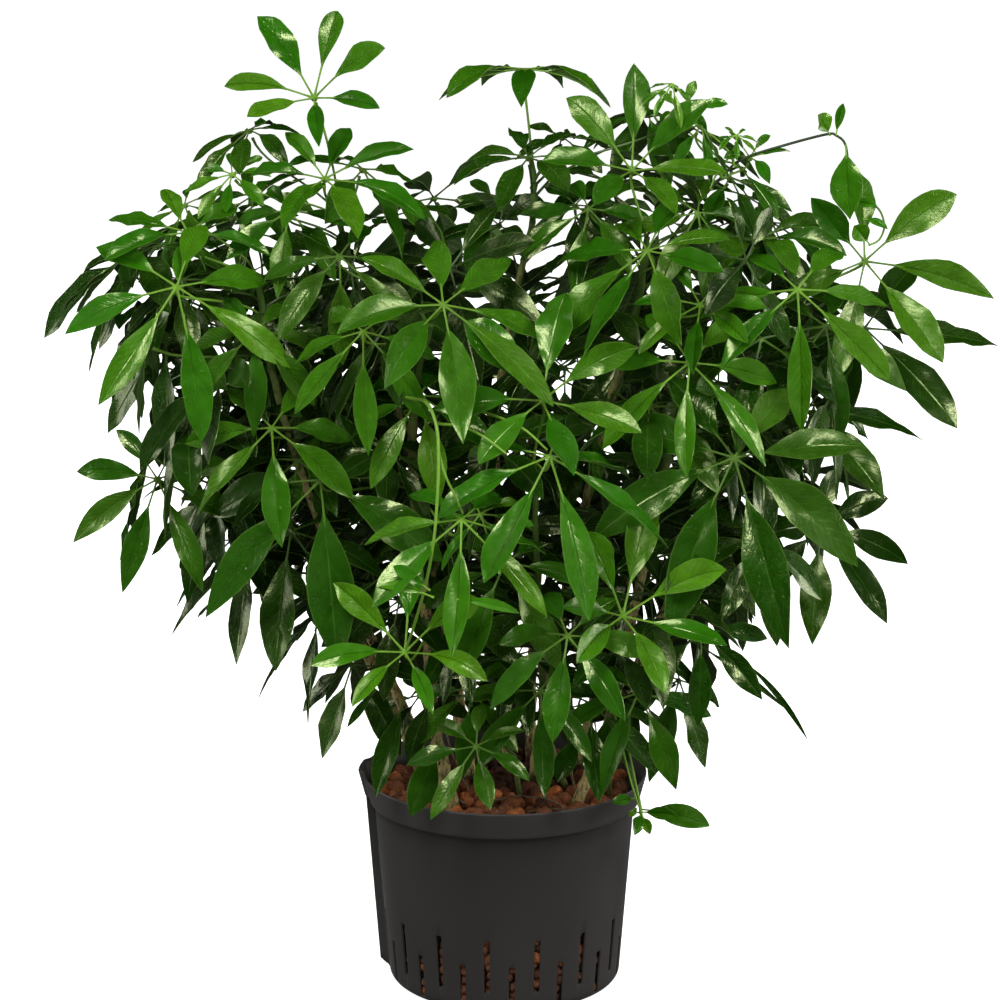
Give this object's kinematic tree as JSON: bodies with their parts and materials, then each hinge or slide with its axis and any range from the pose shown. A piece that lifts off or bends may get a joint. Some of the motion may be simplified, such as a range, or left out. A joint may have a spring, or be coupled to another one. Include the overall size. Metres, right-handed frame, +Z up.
{
  "type": "potted umbrella plant",
  "caption": "Bushy umbrella plant with whorled compound leaves on woody stems, standing in a round slotted pot filled with fired clay pebbles.",
  "frame": {"origin": "middle of the pot's flat underside, on the floor", "axes": "+Z up along the pot's axis, -Y towards the front of the plant as pictured, +X to its right"},
  "size_m": [0.8231, 0.5878, 0.8653],
  "materials": {
    "pot_plastic": "moulded charcoal plastic, satin",
    "fired_clay": "rough unglazed fired clay",
    "foliage": "glossy leathery leaves on woody stems"
  },
  "bodies": {
    "root": {"pot": "pot_plastic", "clay_pebbles": "fired_clay", "front_left_stem": "foliage", "left_stem": "foliage", "far_left_stem": "foliage", "top_left_stem": "foliage", "front_green_stem": "foliage", "low_front_shoot": "foliage", "front_right_stem": "foliage", "right_stem": "foliage", "top_right_stem": "foliage", "centre_stem": "foliage", "back_left_stem": "foliage", "back_stem": "foliage", "back_right_stem": "foliage", "trailing_shoot": "foliage"}
  },
  "joints": []
}
